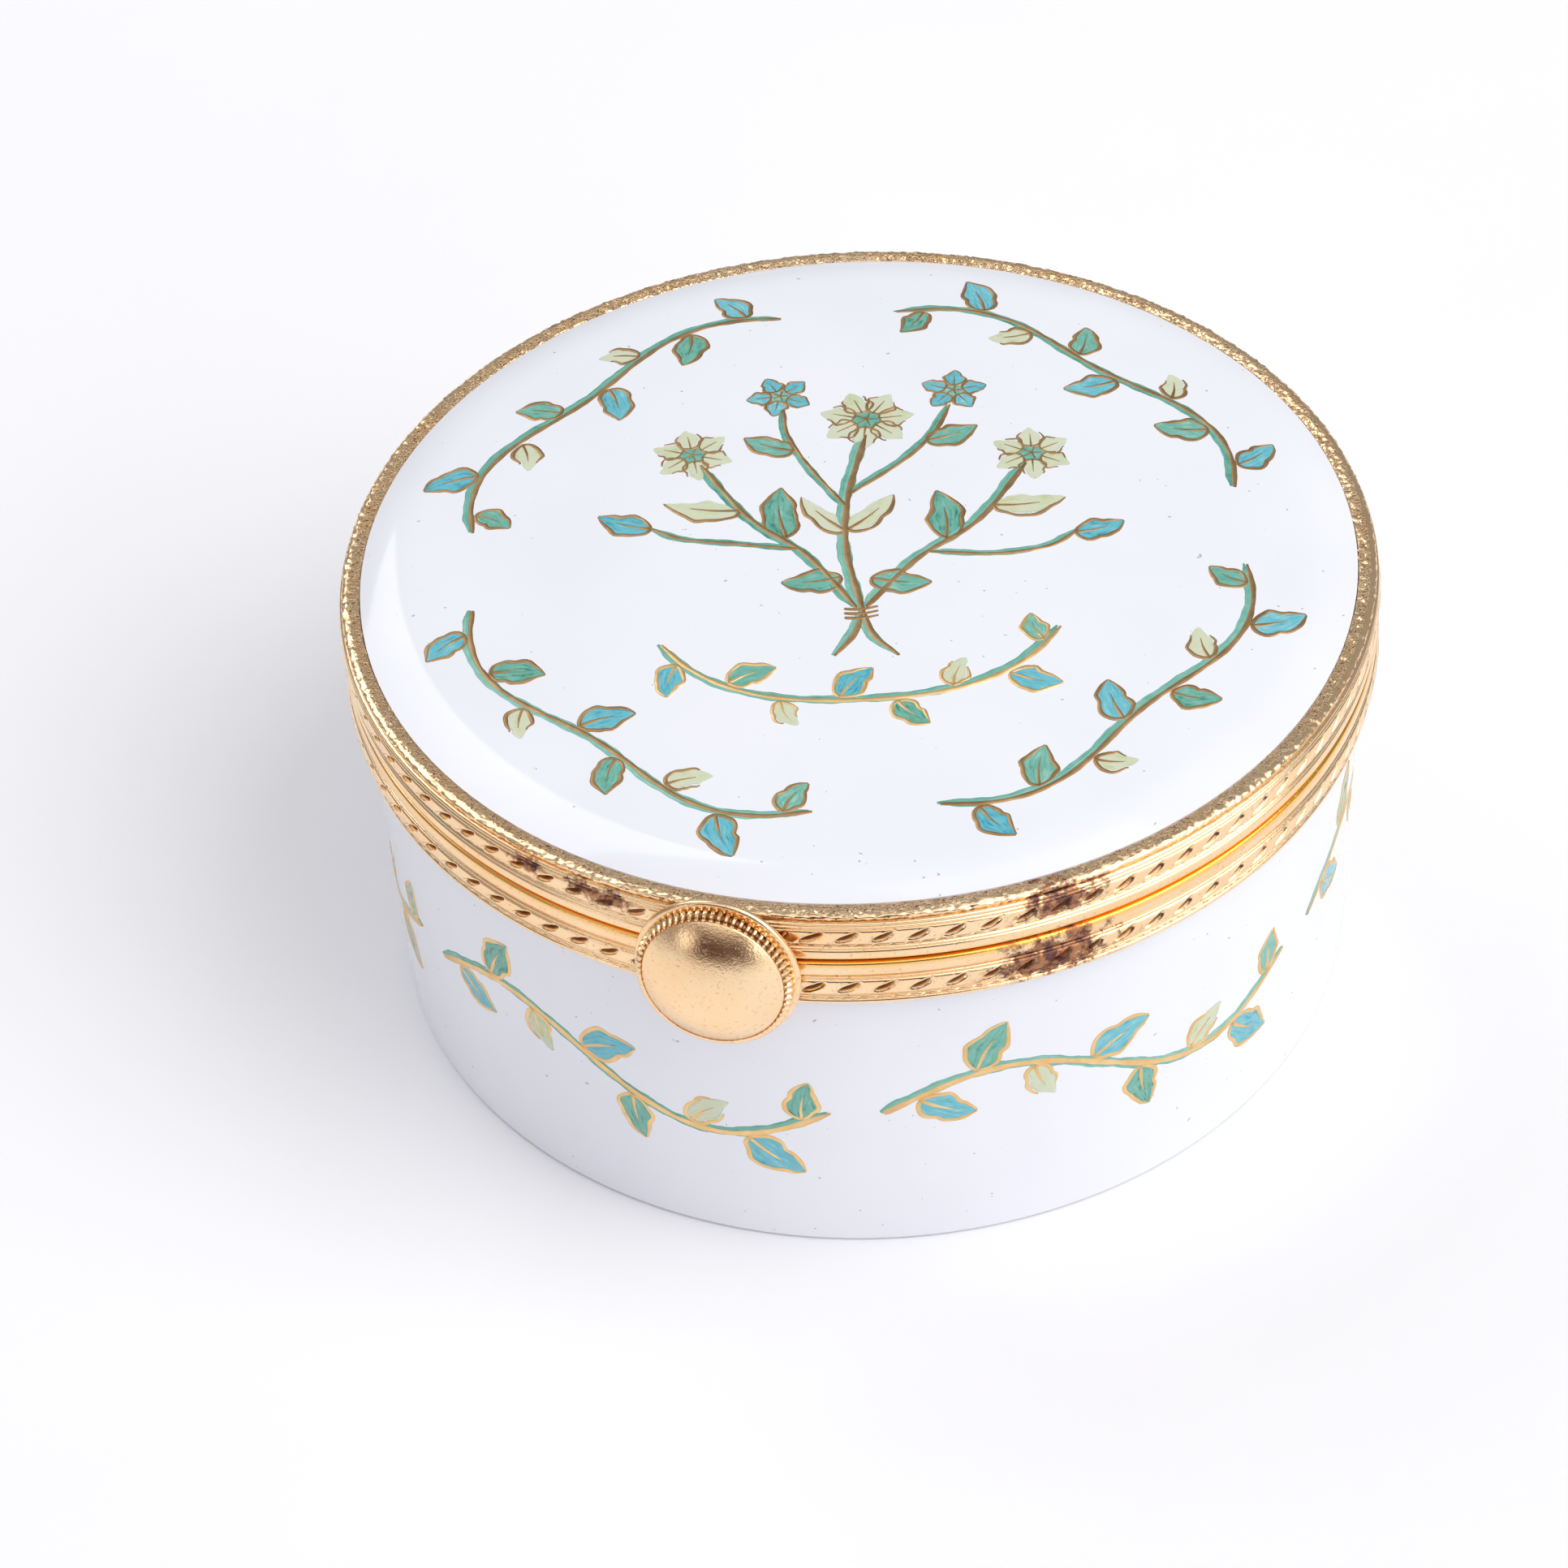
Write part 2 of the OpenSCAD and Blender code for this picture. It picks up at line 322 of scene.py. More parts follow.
def turned(outline, columns, move=0.0):
    # An outline of (radius, height) turned about Z, up its outer side. It is a closed loop, or it starts and
    # ends on the axis. move pushes each point of it out along its row's normal.
    outline = np.array(outline, dtype=float)
    solid = outline[0, 0] == 0
    rows = outline[1:-1] if solid else outline
    count = len(rows)
    angles = np.arange(columns) * 2 * math.pi / columns
    along = np.roll(rows, -1, 0) - np.roll(rows, 1, 0)
    if solid:
        along = outline[2:] - outline[:-2]
    normal = np.stack([along[:, 1], -along[:, 0]], 1)
    normal /= np.maximum(np.hypot(normal[:, 0], normal[:, 1]), 1e-9)[:, None]
    move = move + np.zeros((count, columns))
    radius = rows[:, :1] + normal[:, :1] * move
    height = rows[:, 1:] + normal[:, 1:] * move
    points = np.stack([radius * np.cos(angles), radius * np.sin(angles), height], -1).reshape(-1, 3)
    j, i = np.meshgrid(np.arange(count - 1 if solid else count), np.arange(columns), indexing="ij")
    k, above = (i + 1) % columns, (j + 1) % count
    faces = np.stack([j * columns + i, j * columns + k, above * columns + k, above * columns + i], -1)
    faces = faces.reshape(-1, 4).tolist()
    if solid:
        points = np.concatenate([points, [[0, 0, outline[0, 1]], [0, 0, outline[-1, 1]]]])
        first, last, top = len(points) - 2, len(points) - 1, (count - 1) * columns
        for i in range(columns):
            k = (i + 1) % columns
            faces += [(first, k, i), (top + i, top + k, last)]
    return points, faces


# porcelain

cup = dict(wall=2.6, taper=0.6, footEdge=0.4, recess=0.8, floor=3.0, columns=360)
lidShell = dict(
    shoulder=3.4, crownDrop=0.9, thick=2.2, sideInset=0.2, rimInset=0.1, rimDrop=0.1, columns=360)

wallTopR = cupR
wallBottomR = cupR - cup["taper"]
crownR = cupR - lidShell["shoulder"]
lidEdgeR = cupR - lidShell["sideInset"] - lidShell["rimInset"]
lidEdgeZ = lidHigh.z - lidShell["rimDrop"]


def lidHeight(r):
    drop = lidShell["crownDrop"]
    slope = 2 * drop / crownR
    fall = (crownZ - drop - lidEdgeZ) / (lidEdgeR - crownR) ** 2 - slope / (lidEdgeR - crownR)
    over = np.maximum(np.asarray(r, dtype=float) - crownR, 0)
    inner = crownZ - drop * (np.minimum(r, crownR) / crownR) ** 2
    return inner - slope * over - fall * over ** 2


def wallRadius(z):
    low = cup["footEdge"]
    return wallBottomR + (wallTopR - wallBottomR) * np.clip((z - low) / (baseLow.z - low), 0, 1)


def makeCup():
    inner = cupR - cup["wall"]
    edge = cup["footEdge"]
    top = cupHigh.z
    outline = [(0, cup["recess"]), (6, cup["recess"]), (wallBottomR - 3.9, cup["recess"])]
    outline += arc(wallBottomR - 3.9, cup["recess"] - 0.2, 0.2, 90, 20, 4)
    outline += arc(wallBottomR - 3.1, 0.3, 0.3, 200, 270, 5)
    outline += [(wallBottomR - 2.0, 0)]
    outline += arc(wallBottomR - edge, edge, edge, -90, 0, 12)
    outline += [(float(wallRadius(z)), z) for z in np.linspace(1, baseLow.z, 16)]
    outline += [(cupR - 0.2, baseLow.z + 0.1)]
    outline += arc(cupR - 0.7, top - 0.5, 0.5, 0, 90, 6)
    outline += arc(inner + 0.5, top - 0.5, 0.5, 90, 180, 6)
    outline += [(inner, z) for z in np.linspace(top - 2, cup["floor"] + 4.4, 8)]
    outline += arc(inner - 4, cup["floor"] + 4, 4, 0, -90, 14)
    outline += [(inner * 0.4, cup["floor"]), (0, cup["floor"])]
    points, faces = turned(outline, cup["columns"])
    made = piece("porcelainCup", points, faces, "base", ["glaze", "bisque"],
                 replaced=["porcelain_base"], sharp=60)
    footLow, footHigh = wallBottomR - 3.3, wallBottomR - 0.35
    for polygon in made.data.polygons:  # the ring it was fired on has no glaze
        r = math.hypot(polygon.center.x, polygon.center.y) / mm
        if polygon.center.z / mm < 0.12 and footLow < r < footHigh:
            polygon.material_index = 1


def makeLid():
    outline = [(0, crownZ)] + [(r, float(lidHeight(r))) for r in np.linspace(1, lidEdgeR, 64)]
    outline += [(lidEdgeR, lidHigh.z - 0.45), (cupR - 0.2, lidHigh.z - 0.6)]
    outline += arc(cupR - 0.6, lidRimZ + 0.4, 0.4, 0, -90, 5)
    mouth = cupR - cup["wall"] + 0.35
    outline += [(mouth + 0.5, lidRimZ), (mouth + 0.1, lidRimZ + 0.3), (mouth - 0.3, lidRimZ + 0.9)]
    ceiling = mouth - 2.4
    outline += [(r, float(lidHeight(r)) - lidShell["thick"]) for r in np.linspace(ceiling, 1, 30)]
    outline += [(0, crownZ - lidShell["thick"])]
    points, faces = turned(outline[::-1], lidShell["columns"])
    piece("porcelainLid", points, faces, "lid", ["glaze"], replaced=["porcelain_lid"], sharp=60)


makeCup()
makeLid()
print("porcelain made")


# gilt collars

collar = dict(
    columns=1920, notches=96, dashes=210, seed=7,
    rootInset=0.62, beadWide=0.48, beadTall=0.25, notchDepth=0.4, notchSlant=0.4, notchHalf=0.5,
    brow=0.04, grain=0.024, dashDepth=0.12,
    # bands from the lip to the seam: start, end, how far they stand out, how square they are, rows
    lidBands=[
        ("plain", 0.5, 0.74, 0.5, 3, 5), ("plain", 0.76, 0.98, 0.52, 3, 5), ("rope", 1.0, 2.14, 0.58, 4, 22),
        ("dash", 2.16, 2.36, 0.4, 2, 6), ("plain", 2.4, 2.58, 0.44, 3, 5), ("seam", 2.6, 3.38, 0.5, 2.4, 14)],
    cupBands=[
        ("dash", 0.5, 0.72, 0.42, 2, 6), ("plain", 0.74, 0.92, 0.46, 3, 5), ("rope", 0.94, 2.1, 0.58, 4, 22),
        ("plain", 2.12, 2.3, 0.46, 3, 5), ("seam", 2.32, 3.38, 0.5, 2.6, 16)],
)


def collarFace(bands, kind):
    # rows from the lip to the seam: (radius, depth below the lip), with each row's band and place in it
    root = collarR - collar["rootInset"]
    rows, kinds, places = [], [], []
    for angle in np.linspace(135, -62, 14):  # the lip is a bead that turns over the edge
        a = math.radians(angle)
        depth = collar["beadTall"] - collar["beadTall"] * math.sin(a)
        rows.append((root - 0.1 + collar["beadWide"] * math.cos(a), depth))
        kinds.append(kind)
        places.append(angle / 135)
    for kind, start, end, rise, square, count in bands:
        for t in np.linspace(-1, 1, count + 1):
            swell = (1 - abs(t) ** square) ** 0.5
            rows.append((root + rise * (0.55 + 0.45 * swell), (start + end) / 2 + t * (end - start) / 2))
            kinds.append(kind)
            places.append(t)
    return rows, kinds, places


def collarShift(kinds, places, flip):
    # how far each row is pushed out round the collar, how dark its hollows are painted (tarnish and painted
    # shade), and how much painted amber reflection it carries
    pitch = 2 * math.pi * collarR / collar["notches"]
    angles = np.arange(collar["columns"]) * 2 * math.pi / collar["columns"]
    turn = angles / (2 * math.pi)
    wander = 0.15 * np.sin(angles * 5) + 0.12 * np.sin(angles * 13 + 1)
    move = np.zeros((len(kinds), len(angles)))
    recess, glow, grit = move.copy(), move.copy(), move.copy()
    crumbs = np.random.default_rng(collar["seed"]).normal(size=move.shape)
    crumbs = (crumbs + np.roll(crumbs, 1, 1) + np.roll(crumbs, 2, 1)) / 2
    for j, (kind, t) in enumerate(zip(kinds, places)):
        if kind == "rope":
            phase = turn * collar["notches"] + flip * t * collar["notchSlant"]
            offset = (phase - np.floor(phase) - 0.5) * pitch
            half = collar["notchHalf"] * max(1e-6, 1 - (t / 0.85) ** 2) ** 0.7
            cut = np.clip(1 - (offset / half) ** 2, 0, 1) * max(0.0, 1 - (t / 0.85) ** 2)
            brow = np.exp(-((offset + half + 0.1) / 0.12) ** 2) * max(0.0, 1 - (t / 0.85) ** 2)
            move[j] = -collar["notchDepth"] * cut * (1 + wander) + collar["brow"] * brow
            # painted shade, with some tarnish, darkens each rope cut
            recess[j] = np.clip(cut * 2.4 - 0.5, 0, 1)
        elif kind in ("milled", "seat"):
            move[j] = collar["grain"] * (crumbs[j] - 1)
            grit[j] = 1.0 if kind == "seat" or t > 0.58 else 0.0
        elif kind == "dash":
            dash = np.cos(2 * math.pi * turn * collar["dashes"]) + 0.5 * np.sin(angles * 41)
            move[j] = -collar["dashDepth"] * (1 - t * t) * np.clip(dash * 1.5, 0, 1)
            # painted shade, with some tarnish, darkens the dashed row, most in its cuts
            recess[j] = (0.3 + 0.6 * np.clip(dash, 0, 1)) * (1 - t * t)
        # painted shade in the narrow grooves between the bands
        if kind in ("seam", "dash") and abs(t) > 0.97:
            recess[j] = 0.5
        # painted amber reflection on the seam band, stronger on one side
        if kind == "seam":
            glow[j] = max(0.0, (t - 0.1) / 0.9) ** 1.3 * (0.6 + 0.4 * np.cos(angles + 0.5))
    return move, {"recess": recess.ravel(), "glow": glow.ravel(), "grit": grit.ravel()}


def makeCollar(name, node, body, lipZ, flip, inner, bands, kind):
    # flip is 1 for the lid's collar, whose lip is on top, and -1 for the cup's
    rows, kinds, places = collarFace(bands, kind)
    outline = [(r, lipZ - flip * depth) for r, depth in rows] + inner
    kinds += ["inner"] * (len(inner) - 2) + ["seat" if kind == "milled" else "inner"] * 2
    places += [0.0] * len(inner)
    if flip > 0:
        outline, kinds, places = outline[::-1], kinds[::-1], places[::-1]
    move, marks = collarShift(kinds, places, flip)
    points, faces = turned(outline, collar["columns"], move)
    piece(name, points, faces, body, ["collar"], marks, replaced=[node], sharp=70)


bedR = cupR + 0.05
mouthR = cupR - cup["wall"]
sheet = 0.5
makeCollar("lidCollar", "lid_collar", "lid", lidHigh.z, 1, [
    (collarR - 0.7, seamHigh), (mouthR + 0.35, seamHigh), (mouthR + 0.35, seamHigh + sheet),
    (bedR, seamHigh + sheet), (bedR, lidHigh.z - sheet), (lidEdgeR + 0.05, lidHigh.z - 0.4),
    (lidEdgeR + 0.03, lidHigh.z - 0.14), (lidEdgeR + 0.14, lidHigh.z - 0.08),
], collar["lidBands"], "milled")
makeCollar("cupCollar", "base_collar", "base", baseLow.z, -1, [
    (collarR - 0.7, seamLow), (mouthR - 0.05, seamLow), (mouthR - 0.05, seamLow - sheet),
    (bedR, seamLow - sheet), (bedR, baseLow.z + 0.3), (cupR + 0.05, baseLow.z + 0.2),
    (cupR + 0.05, baseLow.z + 0.02),
], collar["cupBands"], "plain")


def makeClosingLip():
    outer, inner = lipHigh.x, lipHigh.x - sheet
    outline = [(inner, lipLow.z), (outer, lipLow.z), (outer, lipHigh.z - 0.25)]
    outline += arc(outer - 0.25, lipHigh.z - 0.25, 0.25, 0, 180, 8)
    points, faces = turned(outline, 240)
    piece("closingLip", points, faces, "base", ["fittings"], replaced=["closing_lip"], sharp=50)


makeClosingLip()
print("collars made")


# clasp

clasp = dict(
    lean=6, plate=0.5, rim=0.8, rimInset=0.25, domeInset=0.42, dome=1.65, teeth=64, tooth=0.2, columns=512)


def claspPlace():
    lean = math.radians(clasp["lean"])
    radius = (plateHigh.x - plateLow.x) / 2
    z = (plateHigh.z + plateLow.z - clasp["plate"] * math.sin(lean)) / 2
    y = plateHigh.y - radius * math.sin(lean)
    return radius, Matrix.Translation((0, y, z)) @ Matrix.Rotation(-lean, 4, "X")


def claspTurned(name, outline, node, finish, move=0.0, marks=None, sharp=40):
    points, faces = turned(outline, clasp["columns"], move)
    facing = np.stack([points[:, 0], -points[:, 2], points[:, 1]], -1)
    place = np.array(claspPlace()[1])
    placed = facing @ place[:3, :3].T + place[:3, 3]
    piece(name, placed, faces, "lid", [finish], marks, replaced=[node], sharp=sharp)


def makeClasp():
    plateR = claspPlace()[0]
    rimR = plateR - clasp["rimInset"]
    domeR = rimR - clasp["domeInset"]
    t, face = clasp["plate"], clasp["plate"] + clasp["rim"]
    plate = [(0, 0), (plateR * 0.5, 0), (plateR - 0.15, 0)] + arc(plateR - 0.25, t / 2, t / 2, -80, 80, 8)
    plate += [(plateR - 0.4, t), (0, t)]
    claspTurned("claspPlate", plate, "clasp_backplate", "fittings")
    outline = [(0, t), (rimR * 0.5, t), (rimR - 0.3, t), (rimR - 0.12, t + 0.05)]
    outline += arc(rimR - 0.45, (t + face) / 2, 0.45, -55, 84, 16)
    outline += [(domeR + 0.1, face - 0.05), (domeR + 0.02, face - 0.1)]
    milledFrom, milledTo = 2, len(outline) - 3
    ball = (domeR ** 2 + clasp["dome"] ** 2) / (2 * clasp["dome"])
    spread = math.degrees(math.asin(domeR / ball))
    outline += arc(0, face + clasp["dome"] - ball, ball, 90 - spread, 88, 30)
    outline += [(0, face + clasp["dome"])]
    rows = len(outline) - 2
    angles = np.arange(clasp["columns"]) * 2 * math.pi / clasp["columns"]
    hollowing = np.clip(0.45 + 0.6 * np.sin(angles + 0.3), 0.06, 1)  # rubbed almost smooth underneath
    groove = np.clip(0.5 - np.cos(angles * clasp["teeth"]) * 0.9, 0, 1) * hollowing
    move = np.zeros((rows, clasp["columns"]))
    recess = move.copy()
    move[milledFrom:milledTo] = -clasp["tooth"] * groove * (1 + 0.25 * np.sin(angles * 3))
    # painted shade, with some tarnish, darkens the grooves between the teeth and the seam where the dome
    # meets the rim
    recess[milledFrom:milledTo] = groove * 0.95
    recess[milledTo:milledTo + 2] = hollowing * 0.7
    dents = 0.02 * np.sin(angles * 2 + 1) + 0.012 * np.sin(angles * 3)
    for j in range(milledTo + 2, rows):
        share = (rows - j) / (rows - milledTo)
        move[j] = dents * share * (1 - share) * 2
    recess = np.concatenate([recess.ravel(), [0, 0]])
    claspTurned("claspButton", outline, "clasp_button", "button", move, {"recess": recess})


makeClasp()
print("clasp made")


# hinge

hinge = dict(round=0.14, bore=0.53, columns=48)
axisY, axisZ = (tubeLow.y + tubeHigh.y) / 2, (tubeLow.z + tubeHigh.z) / 2


def alongX(points):
    return np.stack([points[:, 2], points[:, 0] + axisY, points[:, 1] + axisZ], -1)


def makeKnuckle(node, body):
    low, high = nodeBox(node)
    outer, inner, soft = (high.z - low.z) / 2, hinge["bore"], hinge["round"]
    outline = [(inner, low.x + 0.02), (inner, high.x - 0.02), (inner + 0.04, high.x)]
    outline += arc(outer - soft, high.x - soft, soft, 90, 0, 4)
    outline += [(outer, (low.x + high.x) / 2)]
    outline += arc(outer - soft, low.x + soft, soft, 0, -90, 4)
    outline += [(inner + 0.04, low.x)]
    points, faces = turned(outline[::-1], hinge["columns"])
    name = "tube" + "".join(word.capitalize() for word in node.split("_"))
    piece(name, alongX(points), faces, body, ["fittings"], replaced=[node])


for node in ("base_knuckle_left", "base_knuckle_centre", "base_knuckle_right"):
    makeKnuckle(node, "base")
for node in ("lid_knuckle_left", "lid_knuckle_right"):
    makeKnuckle(node, "lid")

kept = {
    "hinge_pin": "pin", "base_cement": "cement", "lid_cement": "cement",
    "base_hinge_bearer": "fittings", "lid_hinge_bearer": "fittings", "clasp_bracket": "fittings",
    "clasp_tongue": "fittings", "catch_pip": "fittings",
}
for node, key in kept.items():
    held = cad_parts[node]
    for index in range(max(1, len(held.data.materials))):
        if len(held.data.materials) <= index:
            held.data.materials.append(finishes[key])
        held.material_slots[index].material = finishes[key]
print("hinge made, CAD pieces finished:", len(kept))


# painting: flat millimetres laid on the glaze

paint = dict(turn=16.2, wallRise=0.8, step=0.3, goldThick=0.035, enamelThick=0.02, sunk=0.03, over=0.018)
turnCos, turnSin = math.cos(math.radians(paint["turn"])), math.sin(math.radians(paint["turn"]))


def onLid(u, v, lift):  # u to the painter's right, v away from the painter
    r = np.hypot(u, v)
    slope = (lidHeight(r + 0.05) - lidHeight(r - 0.05)) / 0.1
    tilt = np.sqrt(1 + slope ** 2)
    grow = 1 - lift * slope / tilt / np.maximum(r, 1e-6)
    z = lidHeight(r) + lift / tilt
    return np.stack([(u * turnCos - v * turnSin) * grow, (u * turnSin + v * turnCos) * grow, z], -1)


def onWall(u, v, lift):  # u round the wall at the foot's radius, v up
    angle = u / wallBottomR + math.radians(paint["turn"])
    radius = wallRadius(v) + lift
    return np.stack([radius * np.sin(angle), -radius * np.cos(angle), v + 0 * u], -1)


class Brush:  # gathers the film of one paint on one surface
    def __init__(self, surface):
        self.surface, self.points, self.faces, self.shades = surface, [], [], []
        self.marks = {"along": [], "across": [], "tone": [], "edge": []}
        self.count = 0

    def film(self, centre, left, right, thick, base, steps, shade, tone):
        # a closed ribbon of paint along a flat path, left and right of it, thin at its edges
        step = np.gradient(centre, axis=0)
        step /= np.maximum(np.hypot(step[:, 0], step[:, 1]), 1e-9)[:, None]
        side = np.stack([-step[:, 1], step[:, 0]], 1)
        t = np.concatenate([np.linspace(-1, 1, steps), [0.5, -0.5]])
        lift = np.concatenate([base + thick * (1 - np.abs(t[:steps]) ** 3), [-paint["sunk"]] * 2])
        lift[[0, steps - 1]] = -0.004
        reach = np.where(t[None, :] > 0, left[:, None], right[:, None]) * t[None, :]
        flat = centre[:, None, :] + side[:, None, :] * reach[:, :, None]
        count, ring = len(centre), steps + 2
        lifts = np.repeat(lift[None, :], count, 0)
        self.points.append(self.surface(flat[..., 0], flat[..., 1], lifts).reshape(-1, 3))
        along = np.linspace(0, 1, count)
        self.marks["along"].append(np.repeat(along, ring))
        self.marks["across"].append(np.tile(t, count))
        ends = np.minimum(along, 1 - along) * 6
        self.marks["edge"].append(np.minimum(1 - np.abs(t)[None, :], ends[:, None]).ravel())
        self.marks["tone"].append(np.full(count * ring, tone))
        start = self.count
        for j in range(count - 1):
            for i in range(ring):
                k = (i + 1) % ring
                a = start + j * ring
                self.faces.append((a + k, a + i, a + ring + i, a + ring + k))
        self.faces.append(tuple(start + i for i in range(ring)))
        self.faces.append(tuple(start + (count - 1) * ring + i for i in reversed(range(ring))))
        self.shades += [shade] * ((count - 1) * ring + 2)
        self.count += count * ring

    def stroke(self, points, width, base, thick, tips, shade=0, tone=0.5):
        # tips says how full the two ends of the stroke are
        path = smooth(points)
        gone = np.concatenate([[0], np.cumsum(np.hypot(*np.diff(path, axis=0).T))])
        left = gone[-1] - gone
        ease = np.minimum(1, tips[0] + gone / 1.2) * np.minimum(1, tips[1] + left / 1.6)
        seed = path[0, 0] * 1.7 + path[0, 1] * 2.3
        hand = 1 + 0.13 * np.sin(gone * 1.9 + seed) + 0.07 * np.sin(gone * 5.1 + seed * 2)
        half = width / 2 * ease * hand
        self.film(path, half, half, thick, base, 5, shade, tone)

    def build(self, name, body, slotName, materials):
        marks = {key: np.concatenate(values) for key, values in self.marks.items()}
        points = np.concatenate(self.points)
        piece(name, points, self.faces, body, materials, marks, self.shades)


def smooth(points):  # a curve through the points
    spots = np.array(points, dtype=float)
    if len(spots) == 2:
        spots = np.array([spots[0], (spots[0] + spots[1]) / 2, spots[1]])
    guard = np.concatenate([[2 * spots[0] - spots[1]], spots, [2 * spots[-1] - spots[-2]]])
    rows = []
    for a, b, c, d in zip(guard, guard[1:], guard[2:], guard[3:]):
        count = max(2, int(np.hypot(*(c - b)) / paint["step"]))
        for t in np.arange(count) / count:
            rows.append(0.5 * (2 * b + (c - a) * t + (2 * a - 5 * b + 4 * c - d) * t ** 2
                               + (3 * b - a - 3 * c + d) * t ** 3))
    return np.array(rows + [spots[-1]])


def leafShape(foot, tip, width, bend, count=26):
    foot, tip = np.array(foot, dtype=float), np.array(tip, dtype=float)
    s = np.linspace(0.02, 0.99, count)
    run = tip - foot
    length = np.hypot(*run)
    side = np.array([-run[1], run[0]]) / length
    centre = foot + run * s[:, None] + side * (bend * 4 * s * (1 - s))[:, None]
    half = width / 2 * np.sin(math.pi * s ** 0.72) ** 0.8
    seed = foot[0] * 3.1 + foot[1] * 1.3
    left = half * (1 + 0.13 * np.sin(11 * s + seed) + 0.06 * np.sin(23 * s + seed))
    right = half * (1 + 0.13 * np.sin(10 * s + seed * 2) + 0.06 * np.sin(21 * s - seed))
    return centre, left, right, side


def leaf(enamelBrush, goldBrush, spec, line=0.3, bright=0):
    # spec: foot, tip, width, bend, enamel shade, outlined sides
    foot, tip, width, bend, shade, sides = spec
    tone = (foot[0] * 0.37 + foot[1] * 0.61) % 1
    centre, left, right, side = leafShape(foot, tip, width, bend)
    pale = shade == 2
    drift = side * 0.06 + (tip - np.array(foot)) * 0.01 if pale else 0
    enamelBrush.film(centre + drift, left, right, paint["enamelThick"], 0.0, 9, shade, tone)
    step = np.gradient(centre, axis=0)
    step /= np.hypot(step[:, 0], step[:, 1])[:, None]
    normal = np.stack([-step[:, 1], step[:, 0]], 1)
    over = paint["over"]
    count = len(centre)
    for name, half, sign in (("left", left, 1), ("right", right, -1)):
        if name in sides or "both" in sides:
            edge = centre + normal * (sign * half)[:, None]
            stop = count if not pale or name in sides else int(count * 0.75)
            points = [tuple(foot)] + [tuple(p) for p in edge[1:stop:3]] + [tuple(edge[stop - 1])]
            goldBrush.stroke(points, line, over * 0.5, paint["goldThick"], (0.8, 0.35), bright)
    vein = [tuple(centre[int(share * count)]) for share in (0.0, 0.31, 0.62)]
    goldBrush.stroke(vein, line * 0.95, over, paint["goldThick"], (0.9, 0.1), bright)


def vine(enamelBrush, goldBrush, points, width, under, shift, bright=0):
    # the gold line, and the green one laid first and left showing at its side
    shifted = [(p[0] + shift[0], p[1] + shift[1]) for p in points]
    enamelBrush.stroke(shifted, under, 0.0, paint["enamelThick"], (0.3, 0.2), 1, (points[0][0] * 0.3) % 1)
    goldBrush.stroke(points, width, paint["over"], paint["goldThick"], (0.7, 0.5), bright)


sprig = dict(
    points=13, shift=(-0.2, 0.1), forward=0.62, aside=0.78, stalk=0.4, plump=0.52, bend=0.2, line=0.3)


def spray(brushes, spot, count, size, width, under, bright=0):
    # a waving stem with leaves by turns on either side
    stem = [tuple(spot(t)) for t in np.linspace(0, 1, sprig["points"])]
    vine(*brushes, stem, width, under, sprig["shift"], bright)
    for number in range(count):
        t = (number + 0.5) / count
        foot = spot(t)
        ahead = spot(t + 0.02) - foot
        ahead = ahead / np.linalg.norm(ahead)
        side = 1 if number % 2 else -1
        way = ahead * sprig["forward"] + np.array([-ahead[1], ahead[0]]) * side * sprig["aside"]
        reach = size * (0.88 + 0.12 * math.sin(number * 2.4))
        start, tip = tuple(foot + way * sprig["stalk"]), tuple(foot + way * reach)
        spec = (start, tip, reach * sprig["plump"], sprig["bend"] * side, number % 3, "both")
        leaf(*brushes, spec, sprig["line"], bright)


lidSprays = [  # start and sweep in degrees, radius, wave, leaves, size of a leaf, bright (1 paints the spray in the wall's brighter gold, a painted highlight)
    (-80, 72, 23.5, 0.9, 8, 3.9, 0), (10, 72, 23.5, 0.9, 8, 3.9, 0), (100, 72, 23.5, 0.9, 8, 3.9, 0),
    (190, 72, 23.5, 0.9, 8, 3.9, 0), (216, 108, 14.6, 0.3, 8, 3.6, 1),
]

posyStems = [  # points, gold width, green width
    ([(0.2, -6.6), (-0.6, -1.0), (-0.4, 4.0), (0.9, 10.2)], 0.45, 0.9),
    ([(-0.2, -6.2), (-3.0, -1.2), (-6.4, 2.6), (-9.3, 8.1)], 0.4, 0.8),
    ([(0.4, -6.2), (3.6, -2.0), (7.4, 1.4), (10.6, 6.8)], 0.4, 0.8),
    ([(-3.4, -0.6), (-7.0, 0.2), (-10.4, 1.0), (-12.6, 2.4)], 0.3, 0.6),
    ([(4.4, -1.4), (8.4, -1.8), (11.6, -1.2), (13.4, 0.2)], 0.3, 0.6),
    ([(-0.5, 3.2), (-2.6, 7.2), (-3.9, 10.6), (-4.1, 13.2)], 0.3, 0.6),
    ([(-0.3, 4.4), (3.2, 7.6), (5.2, 10.4), (6.2, 13.0)], 0.3, 0.6),
    ([(0.2, -6.6), (-0.4, -8.6), (-1.6, -10.4)], 0.4, 0.7),
    ([(0.2, -6.6), (0.8, -8.8), (2.2, -10.6)], 0.4, 0.7),
]

